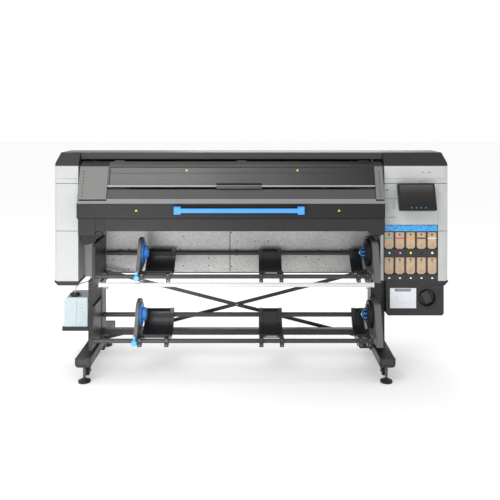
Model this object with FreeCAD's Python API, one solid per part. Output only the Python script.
"""Wide-format roll-to-roll printer on a stand, as separate named pieces.

Millimetres. X runs along the machine, the front faces -Y, +Z is up, and the
origin is under the middle of the machine, on the floor.
"""
import FreeCAD, Part
import math
import os
from FreeCAD import Vector

# ---- driving dimensions -------------------------------------------------
WIDTH = 2583.0
DEPTH = 754.0
HEIGHT = 1402.0

HALF_WIDTH = WIDTH / 2
REAR_Y = DEPTH / 2
SKIN = 4.0                 # wall of a moulded cover
SEAM = 3.0                 # gap between neighbouring covers
CORNER_R = 35.0            # rounded upright corner of an end housing

# end housings
HOUSING_FRONT_Y = -116.0
LEFT_INNER_X = -1131.0     # inner side of the left housing
RIGHT_INNER_X = 870.0      # inner side of the right housing
COLUMN_X = 1221.0          # right column starts here
HOUSING_BOTTOM_Z = 564.0
TRAY_BOTTOM_Z = 535.0
TRAY_RIGHT_START_X = 883.0 # the right tray starts beside the post
BELT_SEAM_Z = 892.0
LID_BOTTOM_Z = 1204.0
LID_CREASE_Z = 1317.0
LID_SLANT = 33.0           # how far a lid leans in above its crease
LID_DEPTH_SLANT = 56.0
TOP_REAR_Y = 178.0         # the flat top ends here and falls to the rear
REAR_EDGE_Z = 1290.0

# hood section, as (Y, Z)
HOOD_TOP = (-64.0, 1343.0)
HOOD_CREST = (-116.0, 1317.0)
HOOD_SHOULDER = (-200.0, 1106.0)
LEDGE_FRONT = (-211.0, 1083.0)
BAND_BOTTOM = (-211.0, 990.0)
HOOD_LEFT_X = -1117.0
HOOD_RIGHT_X = 856.0
WINDOW_LEFT_X = -930.0
WINDOW_RIGHT_X = 800.0
WINDOW_BOTTOM_Z = 1185.0
PANEL = 5.0
BAND_RIGHT_X = 856.0
BAND_LEFT_X = -998.0

# chassis
FRAME_LEFT_X = -1000.0
FRAME_RIGHT_X = 806.0
FRAME_FRONT_Y = 58.0
FRAME_REAR_Y = 350.0
FRAME_TOP_Z = 985.0
PLATEN_Z = 985.0
OUTPUT_PLATE_Y = 110.0

# stand
POST_W = 92.0
LEFT_POST_X = -1033.0      # centre of the left post and its foot beam
RIGHT_POST_X = 836.0
POST_FRONT_Y = -62.0
POST_REAR_Y = 58.0
BEAM_BOTTOM_Z = 104.0
BEAM_TOP_Z = 159.0
BEAM_FRONT_Y = -372.0
BEAM_REAR_Y = 331.0
BEAM_WALL = 4.0
END_CAP = 5.0
FOOT_YS = (-339.0, 290.0)
FOOT_R = 38.0
CASTER_YS = (-250.0, 180.0)
CASTER_TRAIL = -18.0       # the axle stands in front of the swivel
WHEEL_R = 30.0
WHEEL_Z = 43.0
AXLE_R = 5.0
STEM_R = 6.0

# roll stations: roll axis (Y, Z)
UPPER_ROLL = (-80.0, 744.0)
LOWER_ROLL = (-160.0, 363.0)
RAIL_OFFSET = (-150.0, -120.0)
UPPER_SHAFT = (88.0, 705.0)
LOWER_SHAFT = (5.0, 309.0)
RAIL_R = 13.5
SHAFT_R = 15.0
TUBE_WALL = 2.5
CRADLE_R = 140.0
CRADLE_T = 7.0
RIB_R = 155.0
HUB_ARM_R = 100.0
PLUG_R = 38.0
JOURNAL_R = 10.0
SLIDE_FIT = 0.4            # radial clearance of what slides on a rail
TURN_FIT = 0.05            # radial clearance of what turns in a bore
CLEAR = 0.5

INK_COLUMNS = [902.0 + 70.25 * i for i in range(5)]
INK_W = 59.0
INK_ROWS = {"ink_boxes_upper": (774.0, 883.0), "ink_boxes_lower": (609.0, 718.0)}

MIN_EDGE = 0.2


# ---- helpers ------------------------------------------------------------
def box(x0, x1, y0, y1, z0, z1):
    return Part.makeBox(x1 - x0, y1 - y0, z1 - z0, Vector(x0, y0, z0))


def rod_x(x0, x1, y, z, r):
    return Part.makeCylinder(r, x1 - x0, Vector(x0, y, z), Vector(1, 0, 0))


def tube_x(x0, x1, y, z, r):
    return rod_x(x0, x1, y, z, r).cut(rod_x(x0, x1, y, z, r - TUBE_WALL))


def rod_y(y0, y1, x, z, r):
    return Part.makeCylinder(r, y1 - y0, Vector(x, y0, z), Vector(0, 1, 0))


def rod_z(z0, z1, x, y, r):
    return Part.makeCylinder(r, z1 - z0, Vector(x, y, z0), Vector(0, 0, 1))


def extrude(points, step):
    face = Part.Face(Part.makePolygon(points + points[:1]))
    return face.extrude(step)


def slab_x(outline, x0, x1):
    """Solid with a (Y, Z) outline, from x0 to x1."""
    return extrude([Vector(x0, y, z) for y, z in outline], Vector(x1 - x0, 0, 0))


def slab_y(outline, y0, y1):
    """Solid with an (X, Z) outline, from y0 to y1."""
    return extrude([Vector(x, y0, z) for x, z in outline], Vector(0, y1 - y0, 0))


def slab_z(outline, z0, z1):
    """Solid with an (X, Y) outline, from z0 to z1."""
    return extrude([Vector(x, y, z0) for x, y in outline], Vector(0, 0, z1 - z0))


def inward(line, thickness):
    """The polyline moved to its left by thickness, mitred at its corners."""
    normals = []
    for (a0, b0), (a1, b1) in zip(line, line[1:]):
        length = math.hypot(a1 - a0, b1 - b0)
        normals.append((-(b1 - b0) / length, (a1 - a0) / length))
    moved = []
    for i, (a, b) in enumerate(line):
        before = normals[max(i - 1, 0)]
        after = normals[min(i, len(normals) - 1)]
        na, nb = before[0] + after[0], before[1] + after[1]
        scale = 2 * thickness / (na * na + nb * nb)
        moved.append((a + na * scale, b + nb * scale))
    return moved


def sheet_x(line, thickness, x0, x1):
    """Sheet that follows a (Y, Z) polyline, thickened to its left."""
    return slab_x(line + inward(line, thickness)[::-1], x0, x1)


def edges_at(shape, **place):
    """Edges that lie wholly at the given x, y or z."""
    found = []
    for edge in shape.Edges:
        ends = [v.Point for v in edge.Vertexes]
        if all(abs(getattr(p, axis) - value) < MIN_EDGE for p in ends for axis, value in place.items()):
            found.append(edge)
    return found


def rounded(shape, radius, **place):
    return shape.makeFillet(radius, edges_at(shape, **place))


def cut_all(shape, tools):
    return shape.cut(Part.makeCompound(tools)) if tools else shape


def fuse_all(shapes):
    return shapes[0].multiFuse(shapes[1:]).removeSplitter()


def save(node, *solids):
    shape = solids[0] if len(solids) == 1 else Part.makeCompound(list(solids))
    shape.exportStep("parts/" + node + ".step")


def on_hood(z):
    """Y of the hood's sloping face at height z."""
    (y0, z0), (y1, z1) = HOOD_CREST, HOOD_SHOULDER
    return y0 + (y1 - y0) * (z0 - z) / (z0 - z1)


# ---- stand --------------------------------------------------------------
def foot_beam(x):
    """Box-section beam with a cap on each end."""
    x0, x1 = x - POST_W / 2, x + POST_W / 2
    tube = box(x0, x1, BEAM_FRONT_Y, BEAM_REAR_Y, BEAM_BOTTOM_Z, BEAM_TOP_Z)
    tube = tube.cut(box(x0 + BEAM_WALL, x1 - BEAM_WALL, BEAM_FRONT_Y, BEAM_REAR_Y,
                        BEAM_BOTTOM_Z + BEAM_WALL, BEAM_TOP_Z - BEAM_WALL))
    stem_holes = [rod_z(BEAM_BOTTOM_Z - 1, BEAM_BOTTOM_Z + BEAM_WALL + 1, x, y, STEM_R + TURN_FIT)
                  for y in CASTER_YS]
    tube = cut_all(tube, stem_holes)
    chamfer = 14.0
    corner = BEAM_BOTTOM_Z + chamfer
    cap = [(x0 - 3, BEAM_TOP_Z + 2), (x0 - 3, corner), (x0 + chamfer, BEAM_BOTTOM_Z - 2),
           (x1 - chamfer, BEAM_BOTTOM_Z - 2), (x1 + 3, corner), (x1 + 3, BEAM_TOP_Z + 2)]
    front_cap = slab_y(cap, BEAM_FRONT_Y - END_CAP, BEAM_FRONT_Y)
    rear_cap = slab_y(cap, BEAM_REAR_Y, BEAM_REAR_Y + END_CAP)
    return [tube, front_cap, rear_cap]


def post(node, x, top_z, inner_x):
    """Upright box section with a saddle on top, and a pin hole in the wall at inner_x."""
    x0, x1 = x - POST_W / 2, x + POST_W / 2
    saddle_z = top_z - 28
    web = 5.0
    upright = box(x0, x1, POST_FRONT_Y, POST_REAR_Y, BEAM_TOP_Z, saddle_z)
    upright = upright.cut(box(x0 + web, x1 - web, POST_FRONT_Y + web, POST_REAR_Y - web,
                              BEAM_TOP_Z, saddle_z))
    pin_hole = rod_x(inner_x - web - 1, inner_x + web + 1, *TENSION_PIVOT, TENSION_PIN_R + TURN_FIT)
    upright = upright.cut(pin_hole)
    saddle = box(x0, x1, POST_FRONT_Y, 340, saddle_z, top_z)
    saddle = saddle.cut(box(x0 + web, x1 - web, POST_REAR_Y, 341, saddle_z, top_z - web))
    save(node, upright, saddle)


def stand():
    save("foot_beams", *foot_beam(LEFT_POST_X), *foot_beam(RIGHT_POST_X))
    left, right = LEFT_POST_X + POST_W / 2, RIGHT_POST_X - POST_W / 2
    post("left_post", LEFT_POST_X, 550.0, left)
    post("right_post", RIGHT_POST_X, HOUSING_BOTTOM_Z + 2, right)
    low_z, high_z, wall = 187.0, 225.0, 4.0
    beam = box(left, right, -40, 0, low_z, high_z)
    save("stand_cross_beam", beam.cut(box(left, right, -40 + wall, -wall, low_z + wall, high_z - wall)))
    high, low, half = 592.0, 138.0, 12.0
    falling = [(RAIL_LEFT_X, high - half), (right, low - half),
               (right, low + half), (RAIL_LEFT_X, high + half)]
    rising = [(left, low - half), (RAIL_RIGHT_X, high - half),
              (RAIL_RIGHT_X, high + half), (left, low + half)]
    save("cross_braces", slab_y(falling, 40, 45), slab_y(rising, 47, 52))


def levelling_feet():
    feet = []
    for x in (LEFT_POST_X, RIGHT_POST_X):
        for y in FOOT_YS:
            pad = rod_z(0, 12, x, y, FOOT_R)
            pad = rounded(pad, 3, z=12)
            dome = Part.makeCone(26, 12, 12, Vector(x, y, 12), Vector(0, 0, 1))
            stud = rod_z(24, BEAM_BOTTOM_Z, x, y, 8)
            corners = [math.radians(60 * i) for i in range(6)]
            hexagon = [(x + 14 * math.cos(a), y + 14 * math.sin(a)) for a in corners]
            nut = slab_z(hexagon, BEAM_BOTTOM_Z - 12, BEAM_BOTTOM_Z)
            feet.append(fuse_all([pad, dome, stud, nut]))
    save("levelling_feet", *feet)


def caster(name, x, y):
    """Swivel fork on a stem at (x, y), and its wheel, whose axle stands in front of the stem."""
    axle_y = y + CASTER_TRAIL
    plate_z = BEAM_BOTTOM_Z - CLEAR
    half_w, cheek_t, tread_half = 20.0, 4.0, 13.0
    plate = box(x - half_w, x + half_w, axle_y - 14, y + 22, plate_z - 6, plate_z)
    stem = rod_z(plate_z, BEAM_BOTTOM_Z + 20, x, y, STEM_R)
    cheek = [(y + 16, plate_z - 4), (axle_y + 9, WHEEL_Z - 6),
             (axle_y - 9, WHEEL_Z - 6), (axle_y - 14, plate_z - 4)]
    cheeks = [slab_x(cheek, xa, xa + cheek_t) for xa in (x - half_w, x + half_w - cheek_t)]
    axle = rod_x(x - half_w - 2, x + half_w + 2, axle_y, WHEEL_Z, AXLE_R)
    save(name + "_caster_fork", fuse_all([plate, stem, axle] + cheeks))
    wheel = rod_x(x - tread_half, x + tread_half, axle_y, WHEEL_Z, WHEEL_R)
    wheel = wheel.makeFillet(4, edges_at(wheel, x=x - tread_half) + edges_at(wheel, x=x + tread_half))
    cuts = [rod_x(x - tread_half - 1, x + tread_half + 1, axle_y, WHEEL_Z, AXLE_R + TURN_FIT)]
    for face in (x - tread_half, x + tread_half):
        ring = rod_x(face - 3, face + 3, axle_y, WHEEL_Z, 20)
        cuts.append(ring.cut(rod_x(face - 3, face + 3, axle_y, WHEEL_Z, 11)))
    save(name + "_caster_wheel", cut_all(wheel, cuts))


def casters():
    for side, x in (("left", LEFT_POST_X), ("right", RIGHT_POST_X)):
        for end, y in zip(("front", "rear"), CASTER_YS):
            caster(end + "_" + side, x, y)


# ---- roll stations ------------------------------------------------------
RAIL_LEFT_X = -990.0
RAIL_RIGHT_X = 780.0
TENSION_PIVOT = (-30.0, 505.0)
TENSION_BAR = (-250.0, 577.0)
TENSION_SIDES = (-964.0, 776.0)
TENSION_PIN_R = 8.0
TENSION_PIN_DEPTH = 13.0    # how far each pin reaches into its post


def rail_at(roll):
    return roll[0] + RAIL_OFFSET[0], roll[1] + RAIL_OFFSET[1]


def roll_rails():
    """Front rails and rear shafts of both stations, with the upper shaft's supports."""
    left, right = LEFT_POST_X + POST_W / 2, RIGHT_POST_X - POST_W / 2
    pieces = []
    for roll, (shaft_y, shaft_z) in ((UPPER_ROLL, UPPER_SHAFT), (LOWER_ROLL, LOWER_SHAFT)):
        y, z = rail_at(roll)
        pieces.append(tube_x(RAIL_LEFT_X, RAIL_RIGHT_X, y, z, RAIL_R))
        pieces.append(tube_x(left, right, shaft_y, shaft_z, SHAFT_R))
    y, z = UPPER_SHAFT
    for x in (-900.0, -100.0, 700.0):
        block = box(x - 12, x + 12, y, OUTPUT_PLATE_Y, z - 18, z + 18)
        pieces.append(block.cut(rod_x(x - 13, x + 13, y, z, SHAFT_R)))
    save("roll_rails", *pieces)


def left_brackets():
    """Left end plates that carry the rails, and the tray under the waste bottle."""
    x0, x1 = -1010.0, RAIL_LEFT_X
    y, z = rail_at(UPPER_ROLL)
    upper = [(FRAME_FRONT_Y, 563), (FRAME_FRONT_Y, 830), (y + 12, 830), (y - 6, 812), (y - 20, z - 10),
             (y - 20, 563)]
    y, z = rail_at(LOWER_ROLL)
    lower = [(POST_FRONT_Y, z - 55), (POST_FRONT_Y, 441), (y + 59, 441), (y - 18, z + 18), (y - 20, z - 55)]
    wall, rim_z, hook_z = 4.0, 241.0, 300.0
    tray_right, hook_left = LEFT_POST_X - POST_W / 2, -1110.0
    tray = box(-1256, tray_right, -48, 148, 216, rim_z)
    tray = tray.cut(box(-1256 + wall, -1085, -48 + wall, 148 - wall, 216 + wall, rim_z))
    hook = box(hook_left, tray_right, -30, 30, rim_z, hook_z)
    hook = hook.cut(box(hook_left, -1085, -31, 31, rim_z - 1, hook_z + 1))
    save("left_brackets", slab_x(upper, x0, x1), slab_x(lower, x0, x1), fuse_all([tray, hook]))


def drive_arms():
    """Right end housings that turn the hubs and hold the rails' right ends."""
    housings = []
    x0, x1 = RAIL_RIGHT_X, RAIL_RIGHT_X + 40
    for roll, back_y in ((UPPER_ROLL, FRAME_FRONT_Y), (LOWER_ROLL, POST_FRONT_Y)):
        py, pz = roll
        foot_z = pz - 156
        outline = [(back_y, pz + 84), (py - 80, pz + 84), (py - 93, pz + 70), (py - 168, pz - 104),
                   (py - 172, foot_z), (back_y, foot_z)]
        housing = slab_x(outline, x0, x1)
        housing = housing.cut(rod_x(x0 - 1, x1 - 10, py, pz, JOURNAL_R + TURN_FIT))
        groove = [(py - 96, pz + 56), (py - 146, pz - 60), (py - 138, pz - 64), (py - 88, pz + 52)]
        middle = (x0 + x1) / 2
        housings.append(housing.cut(slab_x(groove, middle - 3, middle + 3)))
    save("drive_arms", *housings)


def spokes(count, make_spoke, y, z):
    """Copies of a piece made round the X axis, moved to the roll axis."""
    made = []
    for i in range(count):
        piece = make_spoke()
        piece.rotate(Vector(0, 0, 0), Vector(1, 0, 0), 360 * i / count)
        piece.translate(Vector(0, y, z))
        made.append(piece)
    return made


def drive_hub(node, roll):
    """Ribbed ring gear, disc, finned core plug and its tip, on one axis."""
    y, z = roll
    tip_x, plug_x, disc_x, gear_x, gear_end = 714.0, 722.0, 745.0, 754.0, 776.0
    gear = rod_x(gear_x, gear_end, y, z, 86)
    teeth = spokes(60, lambda: box(gear_x, gear_end, 84, 90, -2, 2), y, z)
    disc = rod_x(disc_x, gear_x, y, z, 62)
    plug = rod_x(plug_x, disc_x, y, z, PLUG_R - 5)
    fins = spokes(8, lambda: box(plug_x + 2, disc_x, 0, PLUG_R, -3, 3), y, z)
    tip = Part.makeCone(8, 14, plug_x - tip_x, Vector(tip_x, y, z), Vector(1, 0, 0))
    journal = rod_x(gear_end, RAIL_RIGHT_X + 25, y, z, JOURNAL_R)
    save(node, gear.multiFuse([disc, plug, tip, journal] + fins + teeth))


def lean_arm(roll, x0, x1, reach_from):
    """Arm from a rail collar up to a point near the roll, as one (Y, Z) outline."""
    ry, rz = rail_at(roll)
    collar = rod_x(x0, x1, ry, rz, 25)
    (ay, az), (by, bz) = reach_from
    outline = [(ry - 12, rz + 21), (ay, az), (by, bz), (ry + 10, rz - 22)]
    return fuse_all([collar, slab_x(outline, x0, x1)])


def left_hub_arm(node, roll):
    """Round-headed arm plate that slides on the rail and carries the left plug."""
    y, z = roll
    x0, x1 = -735.0, -713.0
    head = rod_x(x0, x1, y, z, HUB_ARM_R)
    arm = lean_arm(roll, x0, x1, ((y - 95, z + 10), (y - 10, z - 96)))
    rail = rod_x(x0 - 1, x1 + 1, *rail_at(roll), RAIL_R + SLIDE_FIT)
    bore = rod_x(x0 - 1, x1 + 1, y, z, JOURNAL_R + TURN_FIT)
    plate = cut_all(fuse_all([head, arm]), [rail, bore])
    save(node, rounded(plate, 2.5, x=x0))


def left_plug(node, roll):
    """Thin disc and core plug that turn in the left hub arm."""
    y, z = roll
    arm_face, disc_face, end = -713.0 + CLEAR, -704.0, -680.0
    disc = rod_x(arm_face, disc_face, y, z, 77)
    plug = rounded(rod_x(disc_face, end, y, z, PLUG_R), 4, x=end)
    ribs = [rod_x(disc_face, end - 5, y + 40 * math.cos(a), z + 40 * math.sin(a), 4.5)
            for a in (math.pi * i / 3 for i in range(6))]
    journal = rod_x(-733, arm_face, y, z, JOURNAL_R)
    save(node, disc.multiFuse([plug, journal] + ribs))


def lock_lever(node, roll):
    """Knob on a short shaft in front of the hub arm's rail collar."""
    ry, rz = rail_at(roll)
    x = -724.0
    front = ry - 26
    knob = rod_y(front - 26, front, x, rz, 17)
    knob = rounded(knob, 4, y=front - 26)
    lever = rounded(box(x - 7, x + 7, front - 18, front - 6, rz, rz + 40), 3, z=rz + 40)
    save(node, knob.fuse(lever))


def cradle(roll, x0, x1):
    """Open trough round the roll, on two arms that grip the rail."""
    y, z = roll
    start, end = math.radians(230), math.radians(358)

    def arc_slab(r_in, r_out, a0, a1, xa, xb):
        mid = (a0 + a1) / 2

        def at(r, a):
            return Vector(xa, y + r * math.cos(a), z + r * math.sin(a))
        edges = [Part.Arc(at(r_in, a0), at(r_in, mid), at(r_in, a1)).toShape(),
                 Part.LineSegment(at(r_in, a1), at(r_out, a1)).toShape(),
                 Part.Arc(at(r_out, a1), at(r_out, mid), at(r_out, a0)).toShape(),
                 Part.LineSegment(at(r_out, a0), at(r_in, a0)).toShape()]
        return Part.Face(Part.Wire(edges)).extrude(Vector(xb - xa, 0, 0))
    sheet = arc_slab(CRADLE_R, CRADLE_R + CRADLE_T, start, end, x0, x1)
    band_w = 26.0
    ribs = [arc_slab(CRADLE_R - 3, RIB_R, start, end, xa, xa + band_w) for xa in (x0, x1 - band_w)]
    lip = rod_x(x0, x1, y + CRADLE_R * math.cos(start), z + CRADLE_R * math.sin(start), 8)
    ry, rz = rail_at(roll)
    mid_r = CRADLE_R + 5
    near, far = [(y + mid_r * math.cos(a), z + mid_r * math.sin(a))
                 for a in (math.radians(233), math.radians(264))]
    arms = []
    for xa in (x0, x1 - band_w):
        arms.append(lean_arm(roll, xa, xa + band_w, (near, far)))
        arms.append(box(xa, xa + band_w, ry - 22, ry + 22, rz - 31, rz + 20))
    body = fuse_all([sheet, lip] + ribs + arms)
    return body.cut(rod_x(x0 - 1, x1 + 1, ry, rz, RAIL_R + SLIDE_FIT))


def tension_bar():
    """Full-width tube on two swing arms with pins in the posts."""
    x0, x1 = TENSION_SIDES
    (py, pz), (by, bz) = TENSION_PIVOT, TENSION_BAR
    tube = tube_x(x0 + 10, x1 - 10, by, bz, RAIL_R)
    angle = math.degrees(math.atan2(bz - pz, by - py))
    reach = math.hypot(by - py, bz - pz)
    pieces = [tube]
    left_end = LEFT_POST_X + POST_W / 2 - TENSION_PIN_DEPTH
    right_end = RIGHT_POST_X - POST_W / 2 + TENSION_PIN_DEPTH
    for xa, pin in ((x0, (left_end, x0)), (x1 - 10, (x1, right_end))):
        bar = box(xa, xa + 10, 0, reach, -11, 11)
        bar.rotate(Vector(0, 0, 0), Vector(1, 0, 0), angle)
        bar.translate(Vector(0, py, pz))
        ends = [rod_x(xa, xa + 10, py, pz, 16), rod_x(xa, xa + 10, by, bz, 17)]
        pieces.append(fuse_all([bar, rod_x(pin[0], pin[1], py, pz, TENSION_PIN_R)] + ends))
    save("tension_bar", *pieces)


def roll_stations():
    roll_rails()
    left_brackets()
    drive_arms()
    right_cradles = []
    for level, roll in (("upper", UPPER_ROLL), ("lower", LOWER_ROLL)):
        drive_hub(level + "_drive_hub", roll)
        left_hub_arm(level + "_left_hub_arm", roll)
        left_plug(level + "_left_plug", roll)
        lock_lever(level + "_lock_lever", roll)
        save(level + "_left_cradle", cradle(roll, -709, -515))
        save(level + "_centre_cradle", cradle(roll, 50, 204))
        right_cradles.append(cradle(roll, 668, 748))
    save("right_cradles", *right_cradles)
    tension_bar()


# ---- end housings -------------------------------------------------------
def housing_ring(x_in, x_out, z0, z1):
    """Upright shell of an end housing: front, outer, rear and inner walls."""
    x0, x1 = sorted((x_in, x_out))
    outer = box(x0, x1, HOUSING_FRONT_Y, REAR_Y, z0, z1)
    outer = rounded(outer, CORNER_R, x=x_out, y=HOUSING_FRONT_Y)
    inner_out = x_out - math.copysign(SKIN, x_out)
    inner = box(x0 + SKIN, x1 - SKIN, HOUSING_FRONT_Y + SKIN, REAR_Y - SKIN, z0, z1)
    inner = rounded(inner, CORNER_R - SKIN, x=inner_out, y=HOUSING_FRONT_Y + SKIN)
    return outer.cut(inner)


def left_side_cover():
    middle = housing_ring(LEFT_INNER_X, -HALF_WIDTH, BELT_SEAM_Z + SEAM / 2, LID_BOTTOM_Z - SEAM)
    lower = housing_ring(LEFT_INNER_X, -HALF_WIDTH, HOUSING_BOTTOM_Z, BELT_SEAM_Z - SEAM / 2)
    save("left_side_cover", middle, lower)


def right_side_cover():
    band_z = 933.0
    middle = housing_ring(RIGHT_INNER_X, HALF_WIDTH, BELT_SEAM_Z + SEAM / 2, LID_BOTTOM_Z - SEAM)
    cabinet_space = box(RIGHT_INNER_X - 1, COLUMN_X, HOUSING_FRONT_Y - 1, 224, 0, band_z)
    carriage_way = box(RIGHT_INNER_X - 1, RIGHT_INNER_X + SKIN + 1, -96, 300, FRAME_TOP_Z, LID_BOTTOM_Z)
    seam = box(RIGHT_INNER_X, COLUMN_X, HOUSING_FRONT_Y - 1, HOUSING_FRONT_Y + 1.5, 1104, 1106)
    column_seam = box(COLUMN_X - 1, COLUMN_X + 1, HOUSING_FRONT_Y - 1, HOUSING_FRONT_Y + 1.5,
                      band_z, LID_BOTTOM_Z)
    middle = cut_all(middle, [cabinet_space, carriage_way, seam, column_seam])
    lower = housing_ring(RIGHT_INNER_X, HALF_WIDTH, HOUSING_BOTTOM_Z + 2, BELT_SEAM_Z - SEAM / 2)
    lower = lower.cut(cabinet_space)
    pillar = box(845, 865, HOUSING_FRONT_Y + 4, FRAME_FRONT_Y, 568, 866)
    pillar = pillar.cut(box(848, 862, HOUSING_FRONT_Y + 7, FRAME_FRONT_Y, 571, 863))
    mount = box(1030, 1100, -136, HOUSING_FRONT_Y, 1085, 1165)
    mount = mount.cut(box(1045, 1085, -137, -120, 1080, 1170))
    lugs = [box(x, x + 15, -150, -136, 1105, 1145) for x in (1030, 1085)]
    holes = rod_x(1029, 1101, SCREEN_PIVOT[0], SCREEN_PIVOT[1], 5 + TURN_FIT)
    save("right_side_cover", middle, lower, pillar, fuse_all([mount] + lugs).cut(holes))


def lid_outline(inset):
    """Side outline (Y, Z) of a lid, moved in by inset."""
    outline = [(HOUSING_FRONT_Y, LID_BOTTOM_Z), (HOUSING_FRONT_Y, LID_CREASE_Z),
               (HOUSING_FRONT_Y + LID_DEPTH_SLANT, HEIGHT), (TOP_REAR_Y, HEIGHT), (REAR_Y, REAR_EDGE_Z),
               (REAR_Y, LID_BOTTOM_Z)]
    if not inset:
        return outline
    moved = inward(outline[::-1], inset)[::-1]
    moved[0] = (moved[0][0], LID_BOTTOM_Z - 1)
    moved[-1] = (moved[-1][0], LID_BOTTOM_Z - 1)
    return moved


def lid_body(x_in, x_out, inset):
    """Solid of a lid: side outline with a rounded front corner and a leaning outer side."""
    side = math.copysign(1, x_out)
    x_in, x_out = x_in + side * inset, x_out - side * inset
    x0, x1 = sorted((x_in, x_out))
    body = slab_x(lid_outline(inset), x0, x1)
    top = HEIGHT - inset
    leaning = [(x_out, LID_CREASE_Z), (x_out + side * 5, LID_CREASE_Z), (x_out + side * 5, top + 5),
               (x_out - side * LID_SLANT, top + 5), (x_out - side * LID_SLANT, top)]
    body = body.cut(slab_y(leaning, -200, REAR_Y + 10))
    return rounded(body, CORNER_R - inset, x=x_out, y=HOUSING_FRONT_Y + inset)


def lid(node, x_in, x_out, notch=None):
    shell = lid_body(x_in, x_out, 0).cut(lid_body(x_in, x_out, SKIN))
    side = math.copysign(1, x_out)
    x0, x1 = sorted((x_in - side, x_out + side))
    groove = box(x0, x1, HOUSING_FRONT_Y - 1, HOUSING_FRONT_Y + 2, LID_CREASE_Z - 84, LID_CREASE_Z - 82)
    tools = [groove]
    if notch:
        tools.append(slab_y([(notch[0], LID_BOTTOM_Z - 1), (notch[0] + 10, LID_BOTTOM_Z + 20),
                             (notch[1] - 10, LID_BOTTOM_Z + 20), (notch[1], LID_BOTTOM_Z - 1)],
                            HOUSING_FRONT_Y - 1, HOUSING_FRONT_Y + SKIN + 1))
    save(node, cut_all(shell, tools))


def bottom_trays():
    chamfer = 27.0
    edge, rim = HALF_WIDTH, HOUSING_BOTTOM_Z
    left = [(-edge, rim - 1), (-edge + chamfer, TRAY_BOTTOM_Z), (LEFT_INNER_X - 9, TRAY_BOTTOM_Z),
            (LEFT_INNER_X, TRAY_BOTTOM_Z + 8), (LEFT_INNER_X, rim - 1)]
    right = [(TRAY_RIGHT_START_X, TRAY_BOTTOM_Z), (edge - chamfer, TRAY_BOTTOM_Z), (edge, rim + 1),
             (TRAY_RIGHT_START_X, rim + 1)]
    trays = []
    for outline, x0, x1 in ((left, -edge + chamfer, LEFT_INNER_X - 8),
                            (right, TRAY_RIGHT_START_X + 4, edge - chamfer)):
        tray = slab_y(outline, HOUSING_FRONT_Y + 3, REAR_Y - 4)
        trays.append(tray.cut(box(x0, x1, HOUSING_FRONT_Y + 8, REAR_Y - 9, TRAY_BOTTOM_Z + 4, rim + 2)))
    save("bottom_trays", *trays)


# ---- right cabinet ------------------------------------------------------
CABINET_FRONT_Y = -114.0
CABINET_REAR_Y = 222.0
INK_REAR_Y = 184.0
SCREEN_PIVOT = (-143.0, 1125.0)
LOWER_BOX_X = (883.0, 1260.0)
LOWER_BOX_Z = (338.0, TRAY_BOTTOM_Z)
CARTRIDGE_X = (907.0, 1078.0)
CARTRIDGE_Z = (387.0, 518.0)
KNOB = (1150.0, 454.0)
KNOB_CUP_R = 58.0


def ink_cabinet():
    """Dark cabinet with ten pockets and hollow cross-bands between the rows."""
    body = box(RIGHT_INNER_X - 3, COLUMN_X - 1, CABINET_FRONT_Y, CABINET_REAR_Y, HOUSING_BOTTOM_Z + 2, 931)
    pockets = []
    for z0, z1 in INK_ROWS.values():
        for x in INK_COLUMNS:
            half = INK_W / 2 + 1
            pockets.append(box(x - half, x + half, CABINET_FRONT_Y - 1, INK_REAR_Y + 1, z0 - 1, z1 + 1))
    bands = [box(RIGHT_INNER_X + 2, COLUMN_X - 6, CABINET_FRONT_Y + 5, CABINET_REAR_Y + 1, z0, z1)
             for z0, z1 in ((571, 604), (723, 769), (888, 927))]
    save("ink_cabinet", cut_all(body, pockets + bands))


def ink_boxes():
    chamfer = 12.0
    for node, (z0, z1) in INK_ROWS.items():
        row = []
        for x in INK_COLUMNS:
            x0, x1 = x - INK_W / 2, x + INK_W / 2
            outline = [(x0, z1), (x0, z0 + chamfer), (x0 + chamfer, z0), (x1 - chamfer, z0),
                       (x1, z0 + chamfer), (x1, z1)]
            carton = slab_y(outline, CABINET_FRONT_Y + 5, INK_REAR_Y)
            flap = rod_y(CABINET_FRONT_Y + 4, CABINET_FRONT_Y + 8, x, (z0 + z1) / 2 - 22, 9)
            row.append(carton.cut(flap))
        save(node, *row)


def lower_box():
    """Service box with a cartridge pocket and a round cup round the knob."""
    (x0, x1), (z0, z1) = LOWER_BOX_X, LOWER_BOX_Z
    front, rear, chamfer, wall = -110.0, 300.0, 12.0, 4.0

    def outline(inset):
        cut = chamfer + inset / 2
        return [(x0 + inset, z1 - inset), (x0 + inset, z0 + cut), (x0 + cut, z0 + inset),
                (x1 - cut, z0 + inset), (x1 - inset, z0 + cut), (x1 - inset, z1 - inset)]
    shell = slab_y(outline(0), front, rear).cut(slab_y(outline(wall), front + wall, rear - wall))
    gap = 1.0
    pocket = box(CARTRIDGE_X[0] - gap, CARTRIDGE_X[1] + gap, front - 1, front + wall + 1,
                 CARTRIDGE_Z[0] - gap, CARTRIDGE_Z[1] + gap)
    shelf = box(x0 + wall, CARTRIDGE_X[1] + 6, front + wall, 200, CARTRIDGE_Z[0] - 6, CARTRIDGE_Z[0] - gap)
    x, z = KNOB
    cup = rod_y(front, front + 38, x, z, KNOB_CUP_R + wall)
    ring = rod_y(front - 2, front, x, z, 72).cut(rod_y(front - 2, front, x, z, 68))
    recess = rod_y(front - 1, front + 34, x, z, KNOB_CUP_R)
    bore = rod_y(front, front + 40, x, z, 6 + TURN_FIT)
    body = fuse_all([shell.cut(pocket), shelf, cup, ring])
    save("lower_box", cut_all(body, [recess, bore]))


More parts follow.
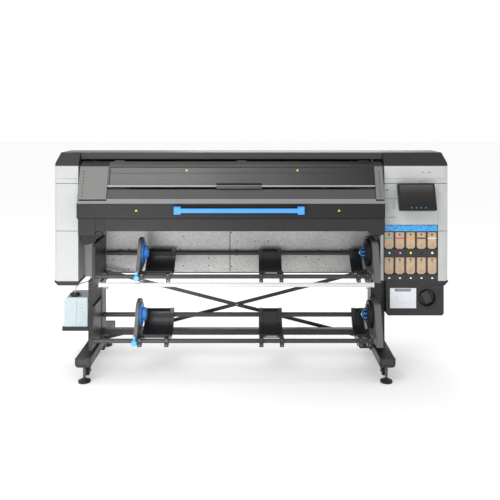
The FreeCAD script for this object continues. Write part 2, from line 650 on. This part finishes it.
def maintenance_cartridge():
    (x0, x1), (z0, z1) = CARTRIDGE_X, CARTRIDGE_Z
    body = box(x0, x1, -114, 170, z0, z1)
    body = body.cut(box(x0 + 3, x1 - 3, -90, 171, z0 + 3, z1 - 3))
    mid = (x0 + x1) / 2
    outline = [(mid - 56, z1 - 3), (mid - 52, z1 - 23), (mid + 52, z1 - 23), (mid + 56, z1 - 3)]
    grip = slab_y(outline, -115, -96)
    save("maintenance_cartridge", body.cut(grip))


def rotary_knob():
    x, z = KNOB
    back = -110.0 + 34 - CLEAR
    grip = box(-27, 27, back - 26, back - 8, -41.5, 41.5)
    grip = grip.makeFillet(7, edges_at(grip, y=back - 26))
    grip.rotate(Vector(0, 0, 0), Vector(0, 1, 0), -30)
    grip.translate(Vector(x, 0, z))
    disc = rod_y(back - 8, back, x, z, 46)
    shaft = rod_y(back, back + 12, x, z, 6)
    save("rotary_knob", fuse_all([grip, disc, shaft]))


def touchscreen():
    """Tilted panel with a hinge barrel behind it."""
    x0, x1 = 945.0, 1185.0
    low, high = (-224.0, 1044.0), (-160.0, 1207.0)
    panel = slab_x([low, high] + inward([low, high], -26)[::-1], x0, x1)
    panel = panel.makeFillet(6, [e for e in panel.Edges if e.Length < 30])
    py, pz = SCREEN_PIVOT
    knuckle = box(1046, 1084, -172, py + 6, pz - 9, pz + 9)
    pin = rod_x(1031, 1099, py, pz, 5)
    save("touchscreen", fuse_all([panel, knuckle, pin]))


def right_cabinet():
    right_side_cover()
    ink_cabinet()
    ink_boxes()
    lower_box()
    maintenance_cartridge()
    rotary_knob()
    touchscreen()


# ---- hood ---------------------------------------------------------------
def window_panel():
    """Hinged window with a raised lower edge and a finger grip."""
    bottom = (on_hood(WINDOW_BOTTOM_Z), WINDOW_BOTTOM_Z)
    pane = sheet_x([HOOD_TOP, HOOD_CREST, bottom], PANEL, WINDOW_LEFT_X, WINDOW_RIGHT_X)
    pane = rounded(pane, 22, y=HOOD_CREST[0], z=HOOD_CREST[1])
    edge_top = (on_hood(1197), 1197)
    edge = sheet_x([edge_top, bottom], -4, WINDOW_LEFT_X, WINDOW_RIGHT_X)
    grip_top = (on_hood(1193) - 4, 1193)
    grip_bottom = (on_hood(1176) - 4, 1176)
    grip = sheet_x([grip_top, grip_bottom], -7, -225, 68)
    barrels = [rod_x(x, x + 60, HOOD_TOP[0] + 4, HOOD_TOP[1] + 1, 5) for x in (-900, -95, 710)]
    save("window_panel", fuse_all([pane, edge, grip] + barrels))


def front_cover():
    """Recessed slope, ledge and front band, one moulding that pivots at its foot."""
    recess = 7.0
    slope_top = (on_hood(1170) + recess, 1170)
    slope_foot = (HOOD_SHOULDER[0] + recess, HOOD_SHOULDER[1])
    slope = sheet_x([slope_top, slope_foot], PANEL, WINDOW_LEFT_X, WINDOW_RIGHT_X)
    line = [(-180, 1101), (HOOD_SHOULDER[0], 1106 - 6), LEDGE_FRONT, BAND_BOTTOM]
    band = sheet_x(line, PANEL, HOOD_LEFT_X, BAND_RIGHT_X)
    groove = box(-520, 366, LEDGE_FRONT[0] - 1, LEDGE_FRONT[0] + 2.5, 1070, 1075)
    link = slab_x([(-193, 1112), (-200, 1098), (-180, 1095), (-180, 1105)], WINDOW_LEFT_X, WINDOW_RIGHT_X)
    save("front_cover", fuse_all([slope, band, link]).cut(groove))


def blue_handle():
    x0, x1, face = -492.0, 338.0, LEDGE_FRONT[0]
    bar = box(x0, x1, face - 40, face - 26, 1030, 1058)
    ends = [box(x, x + 44, face - 40, face, 1020, 1068) for x in (x0, x1 - 44)]
    handle = fuse_all([bar] + ends)
    save("blue_handle", handle.makeFillet(5, edges_at(handle, y=face - 40)))


def lower_front_cover():
    """Cover under the front band, and the box-shaped end piece beside it on the left."""
    front, back = -205.0, 50.0
    wall = box(BAND_LEFT_X, BAND_RIGHT_X, front, front + SKIN, 907, 987)
    floor = box(BAND_LEFT_X, BAND_RIGHT_X, front, back, 907, 907 + SKIN)
    drop = box(770, 850, front, back, 884, 907)
    drop = drop.cut(box(774, 846, front + 4, back - 4, 888, 908))
    seam = box(-942, -940, front - 1, front + 1.5, 906, 988)
    wall = rounded(wall, 2, y=front, z=987)
    end = box(-1109, FRAME_LEFT_X, front, back, 881, 987)
    end = end.cut(box(-1109 + SKIN, FRAME_LEFT_X - SKIN, front + SKIN, back + 1, 881 + SKIN, 988))
    save("lower_front_cover", fuse_all([wall, floor, drop]).cut(seam), end)


def hood_end_panels():
    """Sloping end panels with their cheeks."""
    foot = (on_hood(1110), 1110)
    pieces = []
    for x0, x1, cheek in ((HOOD_LEFT_X, WINDOW_LEFT_X - 2, HOOD_LEFT_X),
                          (WINDOW_RIGHT_X + 2, HOOD_RIGHT_X, HOOD_RIGHT_X - 4)):
        slope = sheet_x([HOOD_TOP, HOOD_CREST, foot], PANEL, x0, x1)
        slope = rounded(slope, 22, y=HOOD_CREST[0], z=HOOD_CREST[1])
        side = slab_x([(-60, 1338), (-112, 1312), (-192, 1112), (-172, 1108), (-172, 1088), (-204, 1076),
                       (-204, 992), (-60, 992)], cheek, cheek + 4)
        pieces.append(fuse_all([slope, side]))
    save("hood_end_panels", *pieces)


def top_cover():
    """Sheet over the middle of the machine, with a lip in front and a fall to the rear."""
    line = [(-56, 1358), (-60, HEIGHT), (TOP_REAR_Y, HEIGHT), (REAR_Y, REAR_EDGE_Z)]
    sheet = sheet_x(line[::-1], SKIN, LEFT_INNER_X + 2, RIGHT_INNER_X - 2)
    below = inward(line[::-1], 2) + [(REAR_Y, 1200), (-50, 1200)]
    seams = [box(x - 1, x + 1, -62, REAR_Y, 1250, HEIGHT + 1).cut(slab_x(below, x - 1, x + 1))
             for x in (-990, FRAME_RIGHT_X)]
    save("top_cover", cut_all(sheet, seams))


def rear_cover():
    """Back wall with vents and a power inlet, and the pan under the body."""
    x0, x1 = LEFT_INNER_X + 2, RIGHT_INNER_X - 2
    wall = box(x0, x1, REAR_Y - SKIN, REAR_Y, 560, REAR_EDGE_Z - 8)
    pan = box(x0, x1, OUTPUT_PLATE_Y + 4, REAR_Y, 560, 560 + 3)
    frames = box(x0, FRAME_LEFT_X + 2, 0, FRAME_REAR_Y + 4, 559, 564)
    vents = [box(x, x + 8, REAR_Y - SKIN - 1, REAR_Y + 1, 700, 760)
             for base in (-700, 300) for x in range(base, base + 300, 20)]
    lines = [box(x0 - 1, x1 + 1, REAR_Y - 1.5, REAR_Y + 1, z, z + 3) for z in (860, 1080)]
    inlet = box(560, 610, REAR_Y - SKIN - 1, REAR_Y + 1, 610, 640)
    right_frame = box(FRAME_RIGHT_X - 20, x1 + 1, 0, FRAME_REAR_Y + 4, 559, 564)
    save("rear_cover", cut_all(wall.fuse(pan), [frames, right_frame, inlet] + vents + lines))


def hood():
    window_panel()
    front_cover()
    blue_handle()
    lower_front_cover()
    hood_end_panels()
    top_cover()
    rear_cover()


# ---- chassis and mechanism ---------------------------------------------
RAIL_BEAM_Y = (170.0, 230.0)
RAIL_BEAM_Z = (1040.0, 1180.0)
GUIDE_Y = 158.0
GUIDE_ZS = (1060.0, 1160.0)
GUIDE_R = 8.0
ROLLER = (200.0, 962.0)


def main_chassis():
    """End frames, main beam and the cutter's guide."""
    frames = []
    for x0, x1, z0 in ((LEFT_INNER_X, FRAME_LEFT_X, 550.0), (FRAME_RIGHT_X, 866.0, HOUSING_BOTTOM_Z + 2)):
        frame = box(x0, x1, FRAME_FRONT_Y, FRAME_REAR_Y, z0, FRAME_TOP_Z)
        inside = box(x0 + 4, x1 - 4, FRAME_FRONT_Y + 4, FRAME_REAR_Y - 4, z0, FRAME_TOP_Z)
        bearing_x = x1 - 5 if x0 < 0 else x0 - 1
        bore = rod_x(bearing_x, bearing_x + 6, ROLLER[0], ROLLER[1], 8 + TURN_FIT)
        frames.append(cut_all(frame, [inside, bore]))
    beam = box(FRAME_LEFT_X, FRAME_RIGHT_X, 60, 170, 915, 975)
    beam = beam.cut(box(FRAME_LEFT_X, FRAME_RIGHT_X, 65, 165, 920, 970))
    guide = box(FRAME_LEFT_X, FRAME_RIGHT_X, 0, 16, 948, 962)
    ties = [box(x, x + 20, 16, 60, 948, 962) for x in (-960, -400, 200, 760)]
    x, y, z = GLAND
    plate = box(LEFT_INNER_X + 4, -1060, FRAME_FRONT_Y + 4, 160, 556, 560)
    gland = rod_z(z, 556, x, y, 9)
    frames[0] = fuse_all([frames[0], plate, gland])
    save("main_chassis", *frames, fuse_all([beam, guide] + ties))


def carriage_rail():
    """Box beam over the platen with two guide rods in front of it."""
    x0, x1 = LEFT_INNER_X, 1284.0
    (y0, y1), (z0, z1) = RAIL_BEAM_Y, RAIL_BEAM_Z
    beam = box(x0, x1, y0, y1, z0, z1).cut(box(x0, x1, y0 + 4, y1 - 4, z0 + 4, z1 - 4))
    feet = [box(xa, xb, y0, y1, FRAME_TOP_Z, z0) for xa, xb in ((x0, FRAME_LEFT_X), (FRAME_RIGHT_X, 866))]
    rods = [rod_x(x0, x1, GUIDE_Y, z, GUIDE_R) for z in GUIDE_ZS]
    blocks = [box(x, x + 16, GUIDE_Y, y0, z - 9, z + 9).cut(rod_x(x, x + 16, GUIDE_Y, z, GUIDE_R))
              for x in (x0, x1 - 16) for z in GUIDE_ZS]
    save("carriage_rail", beam, *feet, *rods, *blocks)


def print_carriage():
    """Carriage body with print heads below and bearings behind."""
    x0, x1 = 890.0, 1190.0
    body = box(x0, x1, -50, 130, 1012, 1190)
    body = body.cut(box(x0 + 4, x1 - 4, -46, 126, 1012, 1186))
    heads = [box(x0 + 22 + 44 * i, x0 + 56 + 44 * i, -30, 100, 995, 1020) for i in range(6)]
    deck = box(x0 + 4, x1 - 4, -46, 126, 1018, 1024)
    bearings = []
    for x in (x0 + 10, x1 - 50):
        for z in GUIDE_ZS:
            block = box(x, x + 40, 130, 167, z - 14, z + 14)
            bearings.append(block.cut(rod_x(x - 1, x + 41, GUIDE_Y, z, GUIDE_R + 0.3)))
    save("print_carriage", fuse_all([body, deck] + heads + bearings))


def platen():
    top = box(FRAME_LEFT_X, FRAME_RIGHT_X, 22, 172, 975, PLATEN_Z)
    slots = [box(x, x + 60, y, y + 3, PLATEN_Z - 4, PLATEN_Z + 1)
             for x in range(-970, 780, 100) for y in (50, 90, 130)]
    save("platen", cut_all(top, slots))


def feed_roller():
    y, z = ROLLER
    roller = rod_x(FRAME_LEFT_X + 2, FRAME_RIGHT_X - 2, y, z, 22)
    journals = [rod_x(x - 7, x + 7, y, z, 8) for x in (FRAME_LEFT_X - 5, FRAME_RIGHT_X + 5)]
    save("feed_roller", fuse_all([roller] + journals))


def cutter_carriage():
    """Block that straddles its guide, with a round blade in front."""
    x0, x1 = -980.0, -920.0
    block = box(x0, x1, -34, 20, 966, 992)
    cheek = box(x0, x1, -34, -4, 935, 966)
    blade = rod_y(-40, -36, -950, 965, 20)
    axle = rod_y(-44, -30, -950, 965, 5)
    save("cutter_carriage", fuse_all([block, cheek, blade, axle]))


def output_plate():
    """Two galvanised plates behind the rolls, with small fixing holes."""
    plates = []
    for x0, x1 in ((-998.0, -148.0), (-146.0, FRAME_RIGHT_X - 2)):
        plate = box(x0, x1, OUTPUT_PLATE_Y, OUTPUT_PLATE_Y + 2, 568, 905)
        holes = [rod_y(OUTPUT_PLATE_Y - 1, OUTPUT_PLATE_Y + 3, x0 + 40 + (x1 - x0 - 80) * i / 4, z, 3)
                 for i in range(5) for z in (585, 885)]
        plates.append(cut_all(plate, holes))
    save("output_plate", *plates)


def mechanism():
    main_chassis()
    carriage_rail()
    print_carriage()
    platen()
    feed_roller()
    cutter_carriage()
    output_plate()


# ---- waste bottle -------------------------------------------------------
CAP_AT = (-1182.0, 0.0)
CAP_TOP_Z = 456.0
BOTTLE_TOP_Z = 436.0
HOSE_R = 4.0
HOSE_ROUTE = [(-1182.0, 0.0, 456.0), (-1182.0, 0.0, 475.0), (-1177.0, 7.0, 494.0),
              (-1166.0, 23.0, 506.0), (-1150.0, 42.0, 510.0), (-1133.0, 71.0, 508.0),
              (-1116.0, 93.0, 509.5), (-1108.5, 104.0, 517.0), (-1104.0, 110.0, 530.0),
              (-1104.0, 110.0, 545.0)]
GLAND = (-1104.0, 110.0, 545.0)


def waste_bottle():
    x0, x1, y0, y1, z0, z1 = -1248.0, -1088.0, -40.0, 140.0, 241.0, BOTTLE_TOP_Z
    wall = 2.5

    def outline(inset):
        return [(x0 + inset, z0 + inset), (x1 - inset, z0 + inset), (x1 - inset, z1 - inset),
                (x0 + 18 + inset / 2, z1 - inset), (x0 + inset, z1 - 24 - inset / 2)]
    outer = slab_y(outline(0), y0, y1)
    corners = edges_at(outer, x=x0) + edges_at(outer, x=x1)
    outer = outer.makeFillet(6, [e for e in corners if e.Length > 170])
    inner = slab_y(outline(wall), y0 + wall, y1 - wall)
    x, y = CAP_AT
    neck = rod_z(z1 - 1, z1 + 8, x, y, 20)
    mouth = rod_z(z1 - 5, z1 + 9, x, y, 17)
    ridge = box(-1172, -1164, y0 - 3, y0 + 1, z0 + 12, z1 - 20)
    save("waste_bottle", cut_all(fuse_all([outer, neck, ridge]), [inner, mouth]))


def waste_cap():
    x, y = CAP_AT
    foot = BOTTLE_TOP_Z
    cap = rod_z(foot, CAP_TOP_Z, x, y, 25).cut(rod_z(foot, foot + 8, x, y, 20))
    wings = [box(xa, xa + 10, y - 4, y + 4, foot + 2, CAP_TOP_Z) for xa in (x - 34, x + 24)]
    save("waste_cap", fuse_all([cap] + wings))


def arc_radius(before, at, after):
    """Radius that fits the corner: 0.45 of the shorter run over the tangent of half the turn."""
    a, b = at - before, after - at
    turn = a.getAngle(b)
    return 0.45 * min(a.Length, b.Length) / math.tan(turn / 2)


def waste_hose():
    points = [Vector(*p) for p in HOSE_ROUTE]
    edges, start = [], points[0]
    for before, at, after in zip(points, points[1:], points[2:]):
        radius = arc_radius(before, at, after)
        a, b = (at - before).normalize(), (after - at).normalize()
        half = a.getAngle(b) / 2
        reach = radius * math.tan(half)
        into, out = at - a * reach, at + b * reach
        bisector = (b - a).normalize()
        middle = at + bisector * (radius / math.cos(half) - radius)
        edges.append(Part.LineSegment(start, into).toShape())
        edges.append(Part.Arc(into, middle, out).toShape())
        start = out
        print("hose radius %.1f, turn %.1f" % (radius, math.degrees(2 * half)))
    edges.append(Part.LineSegment(start, points[-1]).toShape())
    path = Part.Wire(edges)
    first = (points[1] - points[0]).normalize()
    section = Part.Wire(Part.makeCircle(HOSE_R, points[0], first))
    tube = path.makePipeShell([section], True, True)
    ratio = tube.Volume / (math.pi * HOSE_R ** 2 * path.Length)
    print("hose length %.1f, volume ratio %.4f" % (path.Length, ratio))
    save("waste_hose", tube)


def waste():
    waste_bottle()
    waste_cap()
    waste_hose()


def main():
    os.makedirs("parts", exist_ok=True)
    stand()
    levelling_feet()
    casters()
    roll_stations()
    left_side_cover()
    lid("left_lid", LEFT_INNER_X, -HALF_WIDTH)
    lid("right_lid", RIGHT_INNER_X, HALF_WIDTH, notch=(1090, 1200))
    bottom_trays()
    right_cabinet()
    hood()
    mechanism()
    waste()


main()
